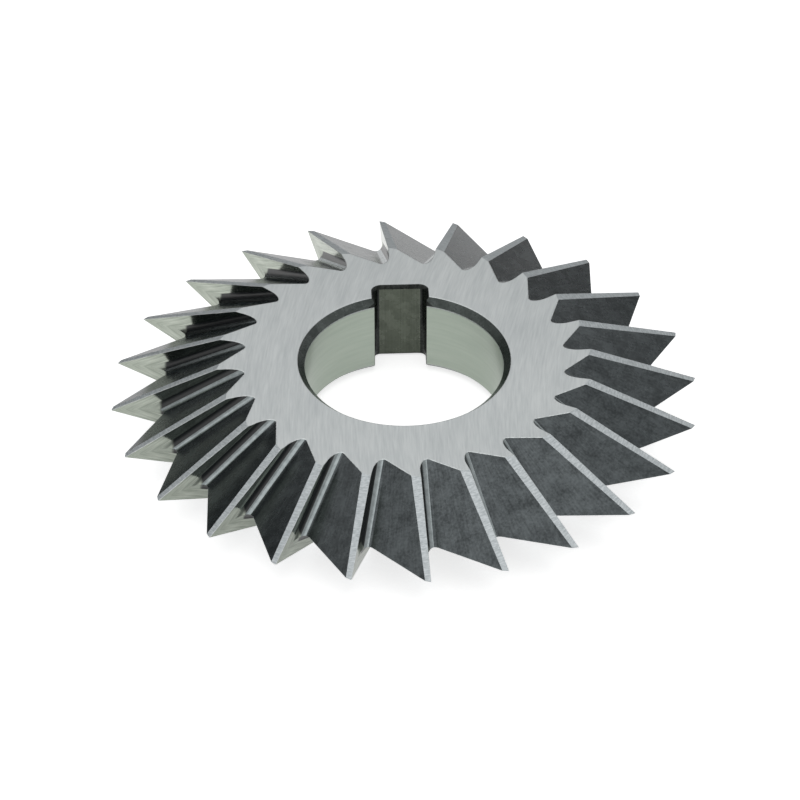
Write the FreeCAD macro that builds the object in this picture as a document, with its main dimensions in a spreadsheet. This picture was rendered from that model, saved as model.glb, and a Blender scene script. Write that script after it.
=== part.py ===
# Equal-angle milling cutter for a keyed arbor, in millimetres.
#
# A flat ring whose outside is turned to a blunt double cone, 80 mm over the tooth points,
# 12 mm wide and bored 27 mm. Twenty-four straight teeth are cut in it. Each tooth has a radial
# face, a narrow ground land on either cone, and a back that falls into a sloping gullet.
# The bore has a keyway with rounded corners. The two sides mirror each other.
#
# Frame: +Z is the bore's axis, the origin is on it in the plane of the tooth points, and the
# keyway is on +Y. Seen from +Z, the tooth faces look anticlockwise.

import FreeCAD, Part
import math
import os

import Sketcher

NODE = "cutter_body"

SIZES = (
    ("outside_diameter", 80, "over the tooth points"),
    ("cutter_width", 12, "between the two hub faces"),
    ("included_angle", 45, "between the two cones, degrees"),
    ("bore_diameter", 27, "for the arbor"),
    ("bore_chamfer", 1, "at both ends of the bore"),
    ("keyway_width", 7.1, "between the keyway's walls"),
    ("keyway_depth", 2.9, "from the bore's wall out to the keyway's floor"),
    ("keyway_corner", 1, "radius where the walls meet the floor"),
    ("keyway_edge", 0.4, "bevel round the keyway on the hub faces"),
    ("tooth_count", 24, "teeth all round"),
    ("tooth_lead", 2.9, "from the keyway to the first cutting edge, degrees"),
    ("gullet_depth", 7.1, "from a tooth point in to the gullet's floor"),
    ("gullet_slope", 28.3, "rise of the gullet's floor towards the hub, degrees"),
    ("gullet_angle", 72, "between a tooth face and the back facing it, degrees"),
    ("gullet_radius", 1.1, "along the gullet's floor"),
    ("relief_angle", 9, "fall of the land behind the cutting edge, degrees"),
)

# How far the cuts reach into the air past the faces that they leave.
TOOTH_PITCH = "pi * Sizes.outside_diameter / Sizes.tooth_count"
SLANT_REACH = "1.1 * Sizes.cutter_width / sin(1deg * %s)"
BACK_REACH = "1.2 * " + TOOTH_PITCH
LAND_REACH = TOOTH_PITCH + " / 3"
LAND_ROOM = "Sizes.cutter_width / 12"
KEYWAY_REACH = "2 * Sizes.cutter_width"

# Places nearer than this count as the same when edges are picked, in millimetres.
TOUCH = 0.001


def make_sheet(doc):
    """Keep the driving sizes as named cells, with a note beside each."""
    sheet = doc.addObject("Spreadsheet::Sheet", "Sizes")
    for row, (name, value, note) in enumerate(SIZES, start=1):
        sheet.set("A%d" % row, name)
        sheet.set("B%d" % row, str(value))
        sheet.set("C%d" % row, note)
        sheet.setAlias("B%d" % row, name)
    doc.recompute()
    return sheet


def origin_feature(body, role):
    """One of the body's own origin planes or axes."""
    for feature in body.Origin.OriginFeatures:
        if feature.Role == role:
            return feature
    raise ValueError("no origin feature " + role)


def new_sketch(body, name, plane):
    """An empty sketch on one of the body's origin planes."""
    sketch = body.newObject("Sketcher::SketchObject", name)
    sketch.AttachmentSupport = (origin_feature(body, plane), [""])
    sketch.MapMode = "FlatFace"
    return sketch


def add_loop(sketch, corners):
    """Straight edges round the corners, joined end to end."""
    count = len(corners)
    for index in range(count):
        start = FreeCAD.Vector(*corners[index], 0)
        end = FreeCAD.Vector(*corners[(index + 1) % count], 0)
        sketch.addGeometry(Part.LineSegment(start, end), False)
    for index in range(count):
        sketch.addConstraint(Sketcher.Constraint("Coincident", index, 2, (index + 1) % count, 1))


def drive(sketch, name, constraint, expression):
    """Add a dimension, name it and bind it to the sheet."""
    index = sketch.addConstraint(constraint)
    sketch.renameConstraint(index, name)
    sketch.setExpression("Constraints." + name, expression)


def tilt(sketch, out, angle):
    """Stand the sketch square to a line that leans in the plane of a tooth face.

    The sketch is on the YZ plane: its own x is across the tooth, and after the turn its own y
    points up out of the cutter. out is the line's radius in the middle plane.
    """
    sketch.AttachmentOffset = FreeCAD.Placement(
        FreeCAD.Vector(0, 0, 1), FreeCAD.Rotation(FreeCAD.Vector(1, 0, 0), 1))
    sketch.setExpression("AttachmentOffset.Base.z", out)
    sketch.setExpression("AttachmentOffset.Rotation.Angle", angle)


def turned_blank(body):
    """The ring with its bore, both bore chamfers and the double cone."""
    sketch = new_sketch(body, "BlankProfile", "XZ_Plane")
    wall, chamfer, hub_top, cone_top, cone_low, hub_low, chamfer_low = range(7)
    add_loop(sketch, ((13, -5), (13, 5), (14, 6), (25, 6), (40, 0), (25, -6), (14, -6)))
    sketch.addConstraint([
        Sketcher.Constraint("Symmetric", wall, 1, wall, 2, -1),
        Sketcher.Constraint("Symmetric", hub_top, 1, hub_low, 2, -1),
        Sketcher.Constraint("Symmetric", hub_top, 2, hub_low, 1, -1),
        Sketcher.Constraint("Horizontal", hub_top),
        Sketcher.Constraint("PointOnObject", cone_top, 2, -1),
    ])
    drive(sketch, "bore_radius", Sketcher.Constraint("DistanceX", -1, 1, wall, 1, 13),
          "Sizes.bore_diameter / 2")
    drive(sketch, "chamfer_out", Sketcher.Constraint("DistanceX", chamfer, 1, chamfer, 2, 1),
          "Sizes.bore_chamfer")
    drive(sketch, "chamfer_up", Sketcher.Constraint("DistanceY", chamfer, 1, chamfer, 2, 1),
          "Sizes.bore_chamfer")
    drive(sketch, "width", Sketcher.Constraint("DistanceY", hub_low, 1, hub_top, 2, 12),
          "Sizes.cutter_width")
    drive(sketch, "point_radius", Sketcher.Constraint("DistanceX", -1, 1, cone_top, 2, 40),
          "Sizes.outside_diameter / 2")
    drive(sketch, "cone_reach", Sketcher.Constraint("DistanceX", hub_top, 2, cone_top, 2, 15),
          "Sizes.cutter_width / 2 / tan(Sizes.included_angle * 1deg / 2)")
    blank = body.newObject("PartDesign::Revolution", "Blank")
    blank.Profile = sketch
    blank.ReferenceAxis = (sketch, ["V_Axis"])
    blank.Angle = 360
    return blank


def slanting_cut(body, sketch, name, slope):
    """Cut a profile along its slope, from past the tooth point to past the hub face."""
    cut = body.newObject("PartDesign::Pocket", name)
    cut.Profile = sketch
    cut.SideType = "Symmetric"
    cut.setExpression("Length", SLANT_REACH % slope)
    return cut


def gullet_cut(body):
    """One straight V between a tooth face and the back of the tooth in front of it.

    The V's bottom line lies in the plane of the tooth face. From the middle plane it rises
    inwards to the hub face, so the gullet is deep at the tooth point and shallow at the hub.
    """
    sketch = new_sketch(body, "GulletProfile", "YZ_Plane")
    tilt(sketch,
         "Sizes.outside_diameter / 2 - Sizes.gullet_depth - Sizes.gullet_radius"
         " * (1 / tan(Sizes.gullet_angle * 1deg / 2) - 1) / sin(Sizes.gullet_slope * 1deg)",
         "Sizes.gullet_slope")
    opening = math.radians(72)
    reach = 8
    radius = 1.1
    tangent = radius / math.tan(opening / 2)
    face, top, back, floor = range(4)
    face_foot = FreeCAD.Vector(0, tangent, 0)
    face_end = FreeCAD.Vector(0, reach, 0)
    back_end = FreeCAD.Vector(reach * math.sin(opening), reach * math.cos(opening), 0)
    back_foot = FreeCAD.Vector(tangent * math.sin(opening), tangent * math.cos(opening), 0)
    circle = Part.Circle(FreeCAD.Vector(radius, tangent, 0), FreeCAD.Vector(0, 0, 1), radius)
    sketch.addGeometry(Part.LineSegment(face_foot, face_end), False)
    sketch.addGeometry(Part.LineSegment(face_end, back_end), False)
    sketch.addGeometry(Part.LineSegment(back_end, back_foot), False)
    sketch.addGeometry(Part.ArcOfCircle(circle, math.pi, 2 * math.pi - opening), False)
    sketch.addConstraint([
        Sketcher.Constraint("Coincident", face, 2, top, 1),
        Sketcher.Constraint("Coincident", top, 2, back, 1),
        Sketcher.Constraint("Tangent", back, 2, floor, 2),
        Sketcher.Constraint("Tangent", floor, 1, face, 1),
        Sketcher.Constraint("PointOnObject", face, 1, -2),
        Sketcher.Constraint("Vertical", face),
        Sketcher.Constraint("PointOnObject", -1, 1, back),
    ])
    drive(sketch, "floor_radius", Sketcher.Constraint("Radius", floor, radius),
          "Sizes.gullet_radius")
    drive(sketch, "opening", Sketcher.Constraint("Angle", back, 1, face, 2, opening),
          "Sizes.gullet_angle")
    drive(sketch, "face_reach", Sketcher.Constraint("DistanceY", -1, 1, face, 2, reach),
          "Sizes.gullet_depth + Sizes.gullet_radius")
    drive(sketch, "back_reach", Sketcher.Constraint("Distance", -1, 1, back, 1, reach),
          BACK_REACH)
    return slanting_cut(body, sketch, "Gullet", "Sizes.gullet_slope")


def land_cut(body):
    """The relief ground behind one cutting edge, down from the cone's own surface."""
    sketch = new_sketch(body, "LandProfile", "YZ_Plane")
    tilt(sketch, "Sizes.outside_diameter / 2", "Sizes.included_angle / 2")
    edge_side, top, far_side, land = range(4)
    add_loop(sketch, ((0, 0), (0, 1), (-3, 1), (-3, -0.4)))
    sketch.addConstraint([
        Sketcher.Constraint("Coincident", edge_side, 1, -1, 1),
        Sketcher.Constraint("Vertical", edge_side),
        Sketcher.Constraint("Horizontal", top),
        Sketcher.Constraint("Vertical", far_side),
    ])
    drive(sketch, "width", Sketcher.Constraint("DistanceX", top, 2, top, 1, 3), LAND_REACH)
    drive(sketch, "above", Sketcher.Constraint("DistanceY", edge_side, 1, edge_side, 2, 1),
          LAND_ROOM)
    drive(sketch, "fall", Sketcher.Constraint("DistanceY", land, 1, land, 2, 0.4),
          LAND_REACH + " * tan(Sizes.relief_angle * 1deg)")
    return slanting_cut(body, sketch, "Land", "Sizes.included_angle / 2")


def all_teeth(body, cuts):
    """Repeat one tooth's cuts on the other side, and both round the cutter."""
    teeth = body.newObject("PartDesign::MultiTransform", "Teeth")
    teeth.Originals = cuts
    mirror = body.Document.addObject("PartDesign::Mirrored", "OtherSide")
    around = body.Document.addObject("PartDesign::PolarPattern", "Around")
    mirror.MirrorPlane = (origin_feature(body, "XY_Plane"), [""])
    around.Axis = (origin_feature(body, "Z_Axis"), [""])
    around.Angle = 360
    around.setExpression("Occurrences", "Sizes.tooth_count")
    teeth.Transformations = [mirror, around]
    body.addObject(mirror)
    body.addObject(around)
    body.Tip = teeth
    return teeth


def keyway_sketch(body):
    """The keyway's outline, open into the bore."""
    sketch = new_sketch(body, "KeywayOutline", "XY_Plane")
    sketch.AttachmentOffset = FreeCAD.Placement(
        FreeCAD.Vector(0, 0, 0), FreeCAD.Rotation(FreeCAD.Vector(0, 0, 1), -1))
    sketch.setExpression("AttachmentOffset.Rotation.Angle", "-Sizes.tooth_lead")
    half, floor, corner = 3.5, 16.4, 1
    bottom, right, right_corner, top, left_corner, left = range(6)
    normal = FreeCAD.Vector(0, 0, 1)
    right_centre = FreeCAD.Vector(half - corner, floor - corner, 0)
    left_centre = FreeCAD.Vector(corner - half, floor - corner, 0)
    lines = {
        bottom: ((-half, 0), (half, 0)),
        right: ((half, 0), (half, floor - corner)),
        top: ((half - corner, floor), (corner - half, floor)),
        left: ((-half, floor - corner), (-half, 0)),
    }
    arcs = {
        right_corner: (right_centre, 0, math.pi / 2),
        left_corner: (left_centre, math.pi / 2, math.pi),
    }
    for index in range(6):
        if index in lines:
            start, end = lines[index]
            edge = Part.LineSegment(FreeCAD.Vector(*start, 0), FreeCAD.Vector(*end, 0))
        else:
            centre, first, last = arcs[index]
            edge = Part.ArcOfCircle(Part.Circle(centre, normal, corner), first, last)
        sketch.addGeometry(edge, False)
    sketch.addConstraint([
        Sketcher.Constraint("Coincident", bottom, 2, right, 1),
        Sketcher.Constraint("Coincident", left, 2, bottom, 1),
        Sketcher.Constraint("Tangent", right, 2, right_corner, 1),
        Sketcher.Constraint("Tangent", right_corner, 2, top, 1),
        Sketcher.Constraint("Tangent", top, 2, left_corner, 1),
        Sketcher.Constraint("Tangent", left_corner, 2, left, 1),
        Sketcher.Constraint("Symmetric", bottom, 1, bottom, 2, -2),
        Sketcher.Constraint("PointOnObject", bottom, 1, -1),
        Sketcher.Constraint("Vertical", right),
        Sketcher.Constraint("Vertical", left),
        Sketcher.Constraint("Horizontal", top),
        Sketcher.Constraint("Equal", right_corner, left_corner),
    ])
    drive(sketch, "width", Sketcher.Constraint("DistanceX", bottom, 1, bottom, 2, 2 * half),
          "Sizes.keyway_width")
    drive(sketch, "floor", Sketcher.Constraint("DistanceY", -1, 1, top, 1, floor),
          "Sizes.bore_diameter / 2 + Sizes.keyway_depth")
    drive(sketch, "corner", Sketcher.Constraint("Radius", right_corner, corner),
          "Sizes.keyway_corner")
    return sketch


def keyway(body):
    """The keyway right through the bore."""
    slot = body.newObject("PartDesign::Pocket", "Keyway")
    slot.Profile = keyway_sketch(body)
    slot.SideType = "Symmetric"
    slot.setExpression("Length", KEYWAY_REACH)
    return slot


def keyway_bevel(body, sheet):
    """A small bevel on the keyway's edges where they lie in the two hub faces."""
    slot = body.Tip
    face_height = sheet.cutter_width / 2
    mouth = sheet.bore_diameter / 2 + sheet.bore_chamfer
    floor = sheet.bore_diameter / 2 + sheet.keyway_depth
    far_corner = math.hypot(sheet.keyway_width / 2, floor)
    names = []
    for number, edge in enumerate(slot.Shape.Edges, start=1):
        middle = edge.valueAt((edge.FirstParameter + edge.LastParameter) / 2)
        radius = math.hypot(middle.x, middle.y)
        in_face = edge.BoundBox.ZLength < TOUCH and abs(abs(middle.z) - face_height) < TOUCH
        if in_face and mouth + TOUCH < radius < far_corner:
            names.append("Edge%d" % number)
    bevel = body.newObject("PartDesign::Chamfer", "KeywayBevel")
    bevel.Base = (slot, names)
    bevel.setExpression("Size", "Sizes.keyway_edge")
    return bevel


def make_cutter(doc, sheet):
    """The whole cutter, turned so that its keyway lies on +Y."""
    body = doc.addObject("PartDesign::Body", "Cutter")
    body.Label = NODE
    turned_blank(body)
    doc.recompute()
    all_teeth(body, [gullet_cut(body), land_cut(body)])
    doc.recompute()
    keyway(body)
    doc.recompute()
    keyway_bevel(body, sheet)
    doc.recompute()
    body.Placement = FreeCAD.Placement(
        FreeCAD.Vector(0, 0, 0), FreeCAD.Rotation(FreeCAD.Vector(0, 0, 1), 1))
    body.setExpression("Placement.Rotation.Angle", "Sizes.tooth_lead")
    doc.recompute()
    return body


def check(doc, body):
    """Stop if a feature failed or the solid isn't sound."""
    for item in doc.Objects:
        if "Invalid" in item.State or "Error" in item.State:
            raise RuntimeError(item.Name + " failed: " + ", ".join(item.State))
    shape = body.Shape
    if shape.isNull() or not shape.isValid() or len(shape.Solids) != 1:
        raise RuntimeError("the cutter isn't one valid solid")


def main():
    os.makedirs("parts", exist_ok=True)
    doc = FreeCAD.newDocument("EqualAngleCutter")
    sheet = make_sheet(doc)
    body = make_cutter(doc, sheet)
    check(doc, body)
    body.Shape.exportStep(os.path.join("parts", body.Label + ".step"))
    print(body.Label, "volume", round(body.Shape.Volume, 1), "faces", len(body.Shape.Faces))


main()
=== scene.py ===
# The double-angle milling cutter, finished as it leaves the grinding shop.
#
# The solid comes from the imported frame. Its skin is copied and merged, its sharp edges get a fine
# broken edge, and each face gets the finish that its place on a real cutter has. Only the crease
# where a tooth's two gullets meet stays as sharp as the solid has it.
# Lengths are metres, in the frame's own axes: +Z is the bore, the keyway is on +Y.

import math

import bpy
from mathutils import Matrix, Vector


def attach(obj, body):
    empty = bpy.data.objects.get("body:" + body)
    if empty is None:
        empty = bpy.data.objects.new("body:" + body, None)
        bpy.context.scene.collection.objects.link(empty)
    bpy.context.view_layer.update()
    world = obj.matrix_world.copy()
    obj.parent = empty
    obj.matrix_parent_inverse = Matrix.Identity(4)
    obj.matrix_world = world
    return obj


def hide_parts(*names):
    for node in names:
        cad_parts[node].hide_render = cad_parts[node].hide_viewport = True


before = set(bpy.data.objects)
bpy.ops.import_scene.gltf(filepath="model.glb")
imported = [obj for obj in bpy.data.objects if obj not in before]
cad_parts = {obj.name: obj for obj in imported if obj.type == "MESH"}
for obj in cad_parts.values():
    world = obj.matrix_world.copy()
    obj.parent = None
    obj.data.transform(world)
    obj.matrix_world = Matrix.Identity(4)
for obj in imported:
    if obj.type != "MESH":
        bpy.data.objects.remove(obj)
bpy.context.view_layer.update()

MM = 0.001

BODY = "root"
NODE = "cutter_body"

# The cutter's own sizes, as its source has them.
HALF_WIDTH = 6 * MM
POINT_RADIUS = 40 * MM
BORE_RADIUS = 13.5 * MM
CHAMFER_RADIUS = 14.5 * MM
KEYWAY_FLOOR = 16.4 * MM
KEYWAY_HALF_WIDTH = 3.55 * MM
KEYWAY_EDGE = 0.4 * MM
CONE_ANGLE = math.radians(22.5)
GULLET_SLOPE = math.radians(28.3)

# What tells one kind of face from another: distances, an area, and the cosines between a face's
# normal and the way that it should look.
TOUCH = 0.01 * MM
KEYWAY_REACH = KEYWAY_FLOOR + 1.2 * MM
LAND_DEPTH = 0.25 * MM
CREASE_DEPTH = 0.4 * MM
BACK_AREA = 20 * MM * MM
SQUARE_ON = 0.99
KEYWAY_FLOOR_ON = 0.95
TOOTH_FACE_ON = 0.9
UPRIGHT = 0.001

# Merging, bevelling and shading.
MERGE_WITHIN = 0.001 * MM
FLAT_WITHIN = math.radians(0.3)
SHARP_FROM = math.radians(28)
SMOOTH_BELOW = math.radians(30)
BROKEN_EDGE = 0.06 * MM

# The part of the gullet's curve that gets a painted highlight: a stripe of bare steel where the
# curve faces the softbox, turned this far from the tooth face's direction.
PAINTED_HIGHLIGHT_FROM = math.radians(48)
PAINTED_HIGHLIGHT_TO = math.radians(86)

# The radii between which the corner beside a tooth face turns from black to bare.
BLACK_RADIUS = 33.0 * MM
BARE_RADIUS = 33.4 * MM

# An oiled oxide skin, chosen between the oil's 1.47 and the bare oxide's 2.4.
OXIDE_IOR = 1.75

# The middle of the large wheel whose marks cross the hub.
WHEEL_CENTRE = (135 * MM, -18 * MM, 0)

# The studio: how bright the floor glows to the camera and in mirroring metal, how bright the
# surround is as a lamp, the softbox, and the bent black card.
FLOOR_SIZE = 4.0
FLOOR_TO_CAMERA = 0.72
FLOOR_IN_METAL = 0.5
SURROUND_AS_LAMP = 0.55
SOFTBOX_PLACE = (-0.1, 0.05, 0.9)
SOFTBOX_SIZE = 1.0
SOFTBOX_POWER = 2.2
FLAG_RADIUS = 120 * MM
FLAG_HEIGHT = 70 * MM
FLAG_SHIFT = 12 * MM
FLAG_DIP = 15 * MM
FLAG_FRONT = -0.42 * FLAG_RADIUS
FLAG_BACK = 0.55 * FLAG_RADIUS
FLAG_FADED = 0.6 * FLAG_RADIUS


def select_only(piece):
    """Leave one object selected and active."""
    bpy.ops.object.select_all(action="DESELECT")
    piece.select_set(True)
    bpy.context.view_layer.objects.active = piece


def linear(code):
    """Turn an sRGB hex colour into the linear numbers that a shader takes."""
    channels = []
    for start in (1, 3, 5):
        value = int(code[start:start + 2], 16) / 255
        channels.append(value / 12.92 if value <= 0.04045 else ((value + 0.055) / 1.055) ** 2.4)
    return (*channels, 1.0)


def feed(node, inputs):
    """Set a node's inputs, each to a number or a colour or from another node's output."""
    for socket, value in inputs.items():
        if isinstance(value, bpy.types.NodeSocket):
            node.id_data.links.new(value, node.inputs[socket])
        else:
            node.inputs[socket].default_value = value


def add(tree, kind, inputs=None, stops=(), **settings):
    """Add a node with its settings and links.

    The stops are a colour ramp's two: for each, its place on the ramp and its sRGB hex colour.
    """
    node = tree.nodes.new(kind)
    for name, value in settings.items():
        setattr(node, name, value)
    feed(node, inputs or {})
    for index, (place, code) in enumerate(stops):
        node.color_ramp.elements[index].position = place
        node.color_ramp.elements[index].color = linear(code)
    return node


def new_material(name):
    """An empty material with its Principled shader and its output joined."""
    material = bpy.data.materials.new(name)
    material.use_nodes = True
    tree = material.node_tree
    tree.nodes.clear()
    shader = add(tree, "ShaderNodeBsdfPrincipled")
    add(tree, "ShaderNodeOutputMaterial", {"Surface": shader.outputs["BSDF"]})
    return material, tree, shader


# Marks


def flat_distance(tree, place):
    """How far a place lies from the upright axis, whatever its height."""
    flat = add(tree, "ShaderNodeVectorMath", {0: place, 1: (1, 1, 0)}, operation="MULTIPLY")
    return add(tree, "ShaderNodeVectorMath", {0: flat.outputs["Vector"]},
               operation="LENGTH").outputs["Value"]


def marks(tree, across, along, seed):
    """A noise over two distances, each of them counted in marks."""
    field = add(tree, "ShaderNodeCombineXYZ", {"X": across, "Y": along, "Z": seed})
    return add(tree, "ShaderNodeTexNoise", {"Vector": field.outputs["Vector"], "Scale": 1.0,
                                            "Detail": 2.0, "Roughness": 0.6}).outputs["Fac"]


def wheel_marks(tree, spacing, length, seed):
    """Long fine scratches in arcs, as the rim of a large grinding wheel leaves them.

    They follow circles round the wheel's centre, far to one side of the cutter.
    """
    place = add(tree, "ShaderNodeTexCoord").outputs["Object"]
    from_wheel = add(tree, "ShaderNodeVectorMath", {0: place, 1: WHEEL_CENTRE},
                     operation="SUBTRACT").outputs["Vector"]
    parts = add(tree, "ShaderNodeSeparateXYZ", {"Vector": place})
    across = add(tree, "ShaderNodeMath", {0: flat_distance(tree, from_wheel), 1: 1 / spacing},
                 operation="MULTIPLY")
    along = add(tree, "ShaderNodeMath", {0: parts.outputs["Y"], 1: 1 / length},
                operation="MULTIPLY")
    return marks(tree, across.outputs[0], along.outputs[0], seed)


def ring_marks(tree, round_size, out_size, seed):
    """Marks that turn with the teeth: round_size long along the rim, out_size long outwards."""
    place = add(tree, "ShaderNodeTexCoord").outputs["Object"]
    parts = add(tree, "ShaderNodeSeparateXYZ", {"Vector": place})
    angle = add(tree, "ShaderNodeMath", {0: parts.outputs["Y"], 1: parts.outputs["X"]},
                operation="ARCTAN2")
    around = add(tree, "ShaderNodeMath", {0: angle.outputs[0], 1: POINT_RADIUS / round_size},
                 operation="MULTIPLY")
    outward = add(tree, "ShaderNodeMath", {0: flat_distance(tree, place), 1: 1 / out_size},
                  operation="MULTIPLY")
    return marks(tree, around.outputs[0], outward.outputs[0], seed)


def gullet_marks(tree, spacing, length, seed):
    """Scratches on the tooth faces, lying along the gullet's floor as its wheel leaves them."""
    place = add(tree, "ShaderNodeTexCoord").outputs["Object"]
    height = add(tree, "ShaderNodeSeparateXYZ", {"Vector": place}).outputs["Z"]
    above = add(tree, "ShaderNodeMath", {0: height}, operation="ABSOLUTE")
    spot = add(tree, "ShaderNodeCombineXYZ", {"X": flat_distance(tree, place),
                                              "Y": above.outputs[0]}).outputs["Vector"]
    sine, cosine = math.sin(GULLET_SLOPE), math.cos(GULLET_SLOPE)
    across = add(tree, "ShaderNodeVectorMath", {0: spot, 1: (sine / spacing, cosine / spacing, 0)},
                 operation="DOT_PRODUCT")
    along = add(tree, "ShaderNodeVectorMath", {0: spot, 1: (cosine / length, -sine / length, 0)},
                operation="DOT_PRODUCT")
    return marks(tree, across.outputs["Value"], along.outputs["Value"], seed)


# Finishes


def ground_hub_steel():
    """High-speed steel, surface ground with a large wheel: silvery, with long fine scratches."""
    material, tree, shader = new_material("ground_hub_steel")
    # The real scratches are too fine to show; they are drawn a quarter of a millimetre apart.
    fine = wheel_marks(tree, spacing=0.26 * MM, length=4 * MM, seed=1.0)
    wide = wheel_marks(tree, spacing=1.8 * MM, length=14 * MM, seed=7.0)
    both = add(tree, "ShaderNodeMix", {"Factor": 0.4, "A": fine, "B": wide}).outputs["Result"]
    colour = add(tree, "ShaderNodeValToRGB", {"Fac": both},
                 stops=((0.34, "#BABFC0"), (0.66, "#CED2D2")))
    rough = add(tree, "ShaderNodeMapRange", {"Value": fine, "To Min": 0.32, "To Max": 0.44})
    bump = add(tree, "ShaderNodeBump", {"Height": both, "Strength": 0.14, "Distance": 0.02 * MM})
    feed(shader, {"Base Color": colour.outputs["Color"], "Metallic": 1.0,
                  "Roughness": rough.outputs["Result"], "Normal": bump.outputs["Normal"]})
    return material


def ground_land_steel():
    """High-speed steel, fine ground behind the edge: bright, with grit marks across it."""
    material, tree, shader = new_material("ground_land_steel")
    # The real grit marks are too fine to show; they are drawn a fifth of a millimetre wide.
    grit = ring_marks(tree, round_size=0.9 * MM, out_size=0.22 * MM, seed=5.0)
    colour = add(tree, "ShaderNodeValToRGB", {"Fac": grit},
                 stops=((0.36, "#A9AFB1"), (0.64, "#C6CBCD")))
    feed(shader, {"Base Color": colour.outputs["Color"], "Metallic": 1.0, "Roughness": 0.6})
    return material


def ground_face_steel():
    """High-speed steel, finely ground cutting face: smooth enough to mirror what is beside it."""
    material, tree, shader = new_material("ground_face_steel")
    # The real scratches are too fine to show; they are drawn a quarter of a millimetre apart.
    grain = gullet_marks(tree, spacing=0.25 * MM, length=4 * MM, seed=2.0)
    # The green in these colours is a painted reflection of greenish light from below; the grain is
    # the steel's own.
    colour = add(tree, "ShaderNodeValToRGB", {"Fac": grain},
                 stops=((0.36, "#9AA196"), (0.64, "#BAC0B5")))
    feed(shader, {"Base Color": colour.outputs["Color"], "Metallic": 1.0, "Roughness": 0.14})
    return material


def ground_corner():
    """The gullet's curve beside the tooth face: bare metal near the rim, black oxide inside.

    The IOR and the specular level are the oxide's. The bare metal doesn't show them.
    """
    material, tree, shader = new_material("ground_corner")
    place = add(tree, "ShaderNodeTexCoord").outputs["Object"]
    bare = add(tree, "ShaderNodeMapRange", {"Value": flat_distance(tree, place),
                                            "From Min": BLACK_RADIUS,
                                            "From Max": BARE_RADIUS}).outputs["Result"]
    # The bare metal's green is a painted reflection of greenish light from below, as on the tooth
    # face.
    colour = add(tree, "ShaderNodeValToRGB", {"Fac": bare},
                 stops=((0.0, "#131718"), (1.0, "#AAB1A6")))
    feed(shader, {"Base Color": colour.outputs["Color"], "Metallic": bare, "Roughness": 0.3,
                  "IOR": OXIDE_IOR, "Specular IOR Level": 0.38})
    return material


def root_painted_highlight_steel():
    """A painted highlight: a stripe of dull silver steel along the gullet's floor, where its curve
    faces the softbox.
    """
    material, tree, shader = new_material("root_painted_highlight_steel")
    place = add(tree, "ShaderNodeTexCoord").outputs["Object"]
    # The real grain is too fine to show; it is drawn 0.8 mm coarse.
    grain = add(tree, "ShaderNodeTexNoise", {"Vector": place, "Scale": 1.2 / MM, "Detail": 3.0})
    colour = add(tree, "ShaderNodeValToRGB", {"Fac": grain.outputs["Fac"]},
                 stops=((0.3, "#7D8485"), (0.7, "#949B9C")))
    feed(shader, {"Base Color": colour.outputs["Color"], "Metallic": 1.0, "Roughness": 0.25})
    return material


def black_oxide(name, dark, light, sheen, least_gleam=0.28, most_gleam=0.72):
    """Black oxide on milled steel: a thin skin of magnetite, oiled.

    Near black where it mirrors something dark, slate grey under the softbox. The cutter's
    milling marks run out along each gullet, and the skin is mottled between them.
    """
    material, tree, shader = new_material(name)
    milled = ring_marks(tree, round_size=0.3 * MM, out_size=3.5 * MM, seed=3.0)
    place = add(tree, "ShaderNodeTexCoord").outputs["Object"]
    # Clouds of thicker and thinner skin, 2.4 mm across.
    cloud = add(tree, "ShaderNodeTexNoise", {"Vector": place, "Scale": 0.42 / MM, "Detail": 4.0,
                                             "Roughness": 0.65}).outputs["Fac"]
    # The real mottling is too fine to show; it is drawn a third of a millimetre coarse.
    mottle = add(tree, "ShaderNodeTexNoise", {"Vector": place, "Scale": 3 / MM,
                                              "Detail": 2.0}).outputs["Fac"]
    skin = add(tree, "ShaderNodeMix", {"Factor": 0.5, "A": milled, "B": cloud}).outputs["Result"]
    grain = add(tree, "ShaderNodeMix", {"Factor": 0.6, "A": milled, "B": mottle}).outputs["Result"]
    gleam = add(tree, "ShaderNodeMix", {"Factor": 0.45, "A": grain, "B": cloud}).outputs["Result"]
    colour = add(tree, "ShaderNodeValToRGB", {"Fac": skin}, stops=((0.3, dark), (0.7, light)))
    rough = add(tree, "ShaderNodeMapRange", {"Value": cloud, "To Min": 0.2, "To Max": 0.34})
    level = add(tree, "ShaderNodeMapRange", {"Value": gleam, "From Min": 0.38, "From Max": 0.62,
                                             "To Min": least_gleam, "To Max": most_gleam})
    feed(shader, {"Base Color": colour.outputs["Color"], "Roughness": rough.outputs["Result"],
                  "Specular IOR Level": level.outputs["Result"], "IOR": OXIDE_IOR,
                  "Specular Tint": linear(sheen)})
    return material


def ground_bore_steel():
    """High-speed steel, internally ground bore: smooth, with a painted greenish reflection in its
    colour.
    """
    material, tree, shader = new_material("ground_bore_steel")
    place = add(tree, "ShaderNodeTexCoord").outputs["Object"]
    # The real grinding rings are too fine to show; they are drawn nearly half a millimetre wide.
    rings = add(tree, "ShaderNodeMapping", {"Vector": place,
                                            "Scale": (0.15 / MM, 0.15 / MM, 2.2 / MM)})
    grain = add(tree, "ShaderNodeTexNoise", {"Vector": rings.outputs["Vector"], "Scale": 1.0,
                                             "Detail": 3.0})
    # The green in these colours is a painted reflection of greenish light from below; the grinding
    # rings are the steel's own.
    colour = add(tree, "ShaderNodeValToRGB", {"Fac": grain.outputs["Fac"]},
                 stops=((0.3, "#A1ABA0"), (0.7, "#AAB3A8")))
    feed(shader, {"Base Color": colour.outputs["Color"], "Metallic": 1.0, "Roughness": 0.28})
    return material


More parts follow.
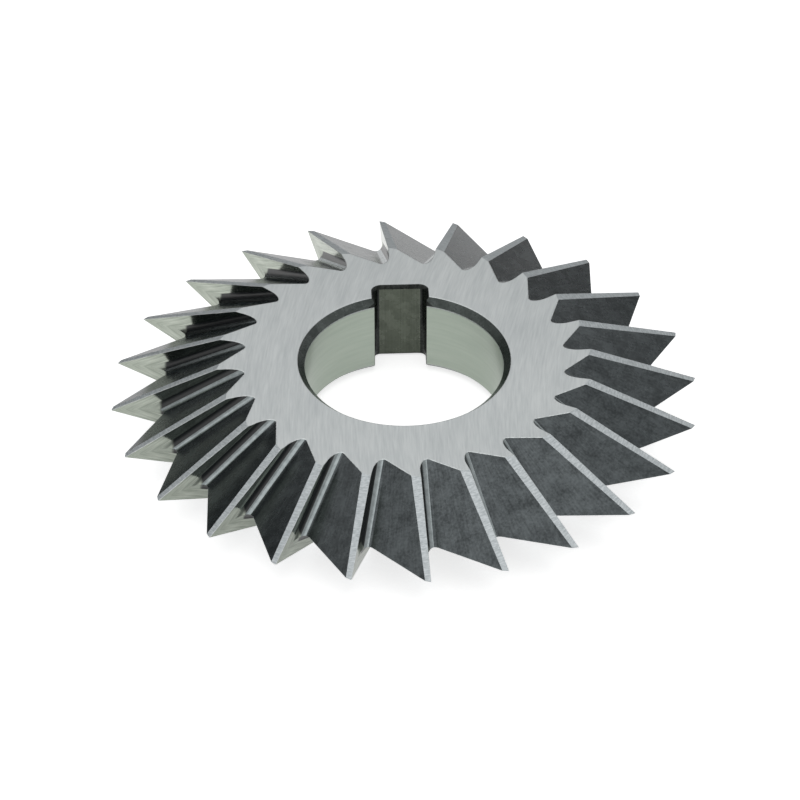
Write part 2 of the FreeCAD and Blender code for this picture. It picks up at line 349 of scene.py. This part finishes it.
def bright_edge_steel():
    """Bare steel where the oxide is worn through along an edge: a thin bright line."""
    material, tree, shader = new_material("bright_edge_steel")
    wear = ring_marks(tree, round_size=0.5 * MM, out_size=0.5 * MM, seed=9.0)
    colour = add(tree, "ShaderNodeValToRGB", {"Fac": wear},
                 stops=((0.35, "#A8ADAD"), (0.65, "#CDD1D1")))
    feed(shader, {"Base Color": colour.outputs["Color"], "Metallic": 1.0, "Roughness": 0.4})
    return material


# The places of the finishes in the list that give_finishes fills.
HUB, LAND, FACE, CORNER, ROOT, OXIDE, KEYWAY, SIDE, CHAMFER, BORE, EDGE = range(11)


def depth_below_cone(place):
    """How far a point lies inside the double cone that the cutter was turned to."""
    radius = math.hypot(place.x, place.y)
    return (POINT_RADIUS - abs(place.z) / math.tan(CONE_ANGLE) - radius) * math.sin(CONE_ANGLE)


def near_keyway(place):
    """Whether a point lies in the keyway or on its edges."""
    return (place.y > 0 and abs(place.x) < KEYWAY_HALF_WIDTH + KEYWAY_EDGE
            and math.hypot(place.x, place.y) < KEYWAY_REACH)


def finish_of(face):
    """Which finish a face of the cutter has, from where it lies and where it looks."""
    centre, normal = face.center, face.normal
    radius = math.hypot(centre.x, centre.y)
    outward = Vector((centre.x, centre.y, 0)).normalized()
    ahead = Vector((-outward.y, outward.x, 0))
    if abs(normal.z) > SQUARE_ON:
        return HUB
    if radius < BORE_RADIUS + TOUCH and normal.dot(outward) < -SQUARE_ON:
        return BORE
    if near_keyway(centre):
        return KEYWAY if normal.y < -KEYWAY_FLOOR_ON else SIDE
    if radius < CHAMFER_RADIUS + TOUCH:
        return CHAMFER
    if abs(normal.z) < UPRIGHT and normal.dot(ahead) > TOOTH_FACE_ON:
        return FACE
    if depth_below_cone(centre) < LAND_DEPTH:
        return LAND
    if face.area > BACK_AREA:
        return OXIDE
    turned = math.acos(max(-1.0, min(1.0, normal.dot(ahead))))
    if turned < PAINTED_HIGHLIGHT_FROM:
        return CORNER
    # Between these angles the curve gets the painted highlight stripe in bare steel; beyond them it
    # is oxide.
    return ROOT if turned < PAINTED_HIGHLIGHT_TO else OXIDE


def give_finishes(piece):
    """Give the piece all its finishes, in the order of the places above, and each face its own."""
    piece.data.materials.clear()
    for finish in (ground_hub_steel(), ground_land_steel(), ground_face_steel(),
                   ground_corner(), root_painted_highlight_steel(),
                   black_oxide("black_oxide", "#121617", "#23292A", "#E6F0F4"),
                   # The keyway floor is its own dark oxide, drawn lighter and greener as a painted
                   # reflection of the bright bore wall across from it.
                   black_oxide("keyway_oxide_and_reflection", "#4E5648", "#6A7262", "#E6EEE0"),
                   black_oxide("keyway_side_oxide", "#0E1110", "#191D1B", "#E6EEE8",
                               least_gleam=0.08, most_gleam=0.3),
                   black_oxide("chamfer_oxide", "#222826", "#363D39", "#E6F0EE"),
                   ground_bore_steel(), bright_edge_steel()):
        piece.data.materials.append(finish)
    for face in piece.data.polygons:
        face.material_index = finish_of(face)


# The cutter


def merged_skin(node, name):
    """A copy of a CAD node with its loose triangles joined into one skin of whole faces."""
    piece = bpy.data.objects.new(name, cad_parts[node].data.copy())
    bpy.context.scene.collection.objects.link(piece)
    select_only(piece)
    bpy.ops.object.mode_set(mode="EDIT")
    bpy.ops.mesh.select_all(action="SELECT")
    bpy.ops.mesh.remove_doubles(threshold=MERGE_WITHIN)
    bpy.ops.mesh.dissolve_limited(angle_limit=FLAT_WITHIN)
    bpy.ops.object.mode_set(mode="OBJECT")
    return piece


def in_crease(mesh, edge):
    """Whether an edge lies where a tooth's two gullets meet, in the plane of the tooth points."""
    ends = [mesh.vertices[index].co for index in edge.vertices]
    return all(abs(end.z) < TOUCH and depth_below_cone(end) > CREASE_DEPTH for end in ends)


def break_edges(piece):
    """A fine rounded bevel along every sharp edge but the gullets' crease, which stays sharp.

    Bare metal shows along all of them but the keyway's.
    """
    select_only(piece)
    bpy.ops.object.mode_set(mode="EDIT")
    bpy.ops.mesh.select_mode(type="EDGE")
    bpy.ops.mesh.select_all(action="DESELECT")
    bpy.ops.mesh.edges_select_sharp(sharpness=SHARP_FROM)
    bpy.ops.object.mode_set(mode="OBJECT")
    for edge in piece.data.edges:
        if in_crease(piece.data, edge):
            edge.select = False
    bpy.ops.object.mode_set(mode="EDIT")
    bpy.ops.transform.edge_bevelweight(value=1.0)
    bpy.ops.object.mode_set(mode="OBJECT")
    bevel = piece.modifiers.new("broken_edge", "BEVEL")
    bevel.width = BROKEN_EDGE
    bevel.segments = 2
    bevel.limit_method = "WEIGHT"
    bevel.use_clamp_overlap = False
    bevel.material = EDGE
    bevel.miter_outer = "MITER_ARC"
    bpy.ops.object.modifier_apply(modifier=bevel.name)
    for face in piece.data.polygons:
        if face.material_index == EDGE and near_keyway(face.center):
            face.material_index = SIDE


def smooth_shading(piece):
    """Round shading over the curves, led by the large faces, so that flat ones look flat."""
    bpy.ops.object.shade_smooth_by_angle(angle=SMOOTH_BELOW)
    for edge in piece.data.edges:
        if in_crease(piece.data, edge):
            edge.use_edge_sharp = True
    for face in piece.data.polygons:
        if face.material_index in (HUB, LAND):
            face.use_smooth = False
    weighted = piece.modifiers.new("weighted_shading", "WEIGHTED_NORMAL")
    weighted.keep_sharp = True
    bpy.ops.object.modifier_apply(modifier=weighted.name)


def make_cutter():
    """The whole cutter with its finishes."""
    piece = merged_skin(NODE, "milling_cutter")
    give_finishes(piece)
    break_edges(piece)
    smooth_shading(piece)
    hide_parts(NODE)
    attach(piece, BODY)


# Studio


def make_floor():
    """A pale floor under the cutter, white to the camera, which keeps the cutter's shadow."""
    bpy.ops.object.select_all(action="DESELECT")
    bpy.ops.mesh.primitive_plane_add(size=FLOOR_SIZE, location=(0, 0, -HALF_WIDTH))
    floor = bpy.context.object
    floor.name = "studio_floor"
    bpy.ops.object.transform_apply(location=True, rotation=True, scale=True)
    material, tree, shader = new_material("white_paper")
    feed(shader, {"Base Color": linear("#F2F2F2"), "Roughness": 0.9})
    path = add(tree, "ShaderNodeLightPath")
    indirect = add(tree, "ShaderNodeMath", {0: path.outputs["Is Glossy Ray"],
                                            1: path.outputs["Is Transmission Ray"]},
                   operation="MAXIMUM")
    mirrored = add(tree, "ShaderNodeMath", {0: indirect.outputs[0], 1: FLOOR_IN_METAL},
                   operation="MULTIPLY")
    lift = add(tree, "ShaderNodeMath", {0: path.outputs["Is Camera Ray"], 1: FLOOR_TO_CAMERA,
                                        2: mirrored.outputs[0]}, operation="MULTIPLY_ADD")
    glow = add(tree, "ShaderNodeEmission", {"Strength": lift.outputs[0]})
    total = add(tree, "ShaderNodeAddShader", {0: shader.outputs["BSDF"],
                                              1: glow.outputs["Emission"]})
    output = next(node for node in tree.nodes if node.type == "OUTPUT_MATERIAL")
    feed(output, {"Surface": total.outputs["Shader"]})
    floor.data.materials.append(material)


def make_world():
    """A white surround as the camera and the bright metal see it, dimmer as a lamp."""
    world = bpy.data.worlds.new("white_surround")
    bpy.context.scene.world = world
    world.use_nodes = True
    tree = world.node_tree
    tree.nodes.clear()
    path = add(tree, "ShaderNodeLightPath")
    bright = add(tree, "ShaderNodeMath", {0: path.outputs["Is Camera Ray"],
                                          1: path.outputs["Is Glossy Ray"]}, operation="MAXIMUM")
    seen = add(tree, "ShaderNodeMath", {0: bright.outputs[0],
                                        1: path.outputs["Is Transmission Ray"]},
               operation="MAXIMUM")
    strength = add(tree, "ShaderNodeMapRange", {"Value": seen.outputs[0],
                                                "To Min": SURROUND_AS_LAMP, "To Max": 1.0})
    light = add(tree, "ShaderNodeBackground", {"Strength": strength.outputs["Result"]})
    add(tree, "ShaderNodeOutputWorld", {"Surface": light.outputs["Background"]})


def make_softbox():
    """A square softbox overhead, aimed at the cutter."""
    lamp = bpy.data.lights.new("overhead_softbox", "AREA")
    lamp.size = SOFTBOX_SIZE
    lamp.energy = SOFTBOX_POWER
    holder = bpy.data.objects.new("overhead_softbox", lamp)
    bpy.context.scene.collection.objects.link(holder)
    holder.location = SOFTBOX_PLACE
    holder.rotation_euler = Vector(SOFTBOX_PLACE).to_track_quat("Z", "Y").to_euler()


def bend_flag():
    """The card's shape: an upright band round the back and the sides, open at the front."""
    bpy.ops.object.select_all(action="DESELECT")
    bpy.ops.mesh.primitive_circle_add(vertices=72, radius=FLAG_RADIUS, fill_type="NOTHING",
                                      location=(0, 0, 0))
    flag = bpy.context.object
    flag.name = "black_flag"
    bpy.ops.object.mode_set(mode="EDIT")
    bpy.ops.mesh.select_mode(type="VERT")
    bpy.ops.mesh.select_all(action="DESELECT")
    bpy.ops.object.mode_set(mode="OBJECT")
    for point in flag.data.vertices:
        point.select = point.co.y < FLAG_FRONT
    bpy.ops.object.mode_set(mode="EDIT")
    bpy.ops.mesh.delete(type="VERT")
    bpy.ops.mesh.select_all(action="SELECT")
    bpy.ops.mesh.extrude_region_move(TRANSFORM_OT_translate={"value": (0, 0, FLAG_HEIGHT)})
    bpy.ops.mesh.select_all(action="SELECT")
    bpy.ops.transform.translate(value=(FLAG_SHIFT, 0, -HALF_WIDTH))
    bpy.ops.object.mode_set(mode="OBJECT")
    for point in flag.data.vertices:
        if point.co.z > FLAG_HEIGHT / 2 and point.co.y > FLAG_BACK:
            point.co.z -= FLAG_DIP
    return flag


def make_flag():
    """A black card bent round the back, out of the picture, for the steel to mirror.

    A photographer sets one up so that bright metal shows its edges. It fades to grey on the
    right and dips behind. Only mirroring surfaces see it: it hides nothing from the camera and
    throws no shadow.
    """
    flag = bend_flag()
    flag.visible_camera = False
    flag.visible_shadow = False
    flag.visible_diffuse = False
    material, tree, shader = new_material("black_card")
    place = add(tree, "ShaderNodeTexCoord").outputs["Object"]
    across = add(tree, "ShaderNodeSeparateXYZ", {"Vector": place}).outputs["X"]
    faded = add(tree, "ShaderNodeMapRange", {"Value": across, "From Min": 0.0,
                                             "From Max": FLAG_FADED}).outputs["Result"]
    colour = add(tree, "ShaderNodeValToRGB", {"Fac": faded},
                 stops=((0.0, "#1A1A1A"), (1.0, "#C8C8C8")))
    feed(shader, {"Base Color": colour.outputs["Color"], "Roughness": 0.9})
    flag.data.materials.append(material)


def make_camera():
    """The camera at the photograph's place: a long lens, 38 degrees above the hub face."""
    focal, sensor = 241.66, 36.0
    distance = 731.8 * MM
    turn, rise, roll = math.radians(-2.063), math.radians(38.175), math.radians(-0.144)
    aim_right, aim_up = -0.578 * MM, -0.818 * MM
    right = Vector((math.cos(turn), math.sin(turn), 0))
    back = Vector((math.sin(turn) * math.cos(rise), -math.cos(turn) * math.cos(rise),
                   math.sin(rise)))
    up = back.cross(right)
    place = back * distance + right * aim_right + up * aim_up
    data = bpy.data.cameras.new("photo_camera")
    data.lens = focal
    data.sensor_width = sensor
    data.clip_start = 0.05
    data.clip_end = 20.0
    camera = bpy.data.objects.new("photo_camera", data)
    bpy.context.scene.collection.objects.link(camera)
    axes = Matrix((right, up, back)).transposed()
    camera.matrix_world = (Matrix.Translation(place) @ axes.to_4x4()
                           @ Matrix.Rotation(roll, 4, "Z"))
    bpy.context.scene.camera = camera


make_camera()
make_world()
make_floor()
make_flag()
make_softbox()
make_cutter()

bpy.context.scene.view_settings.view_transform = "Standard"
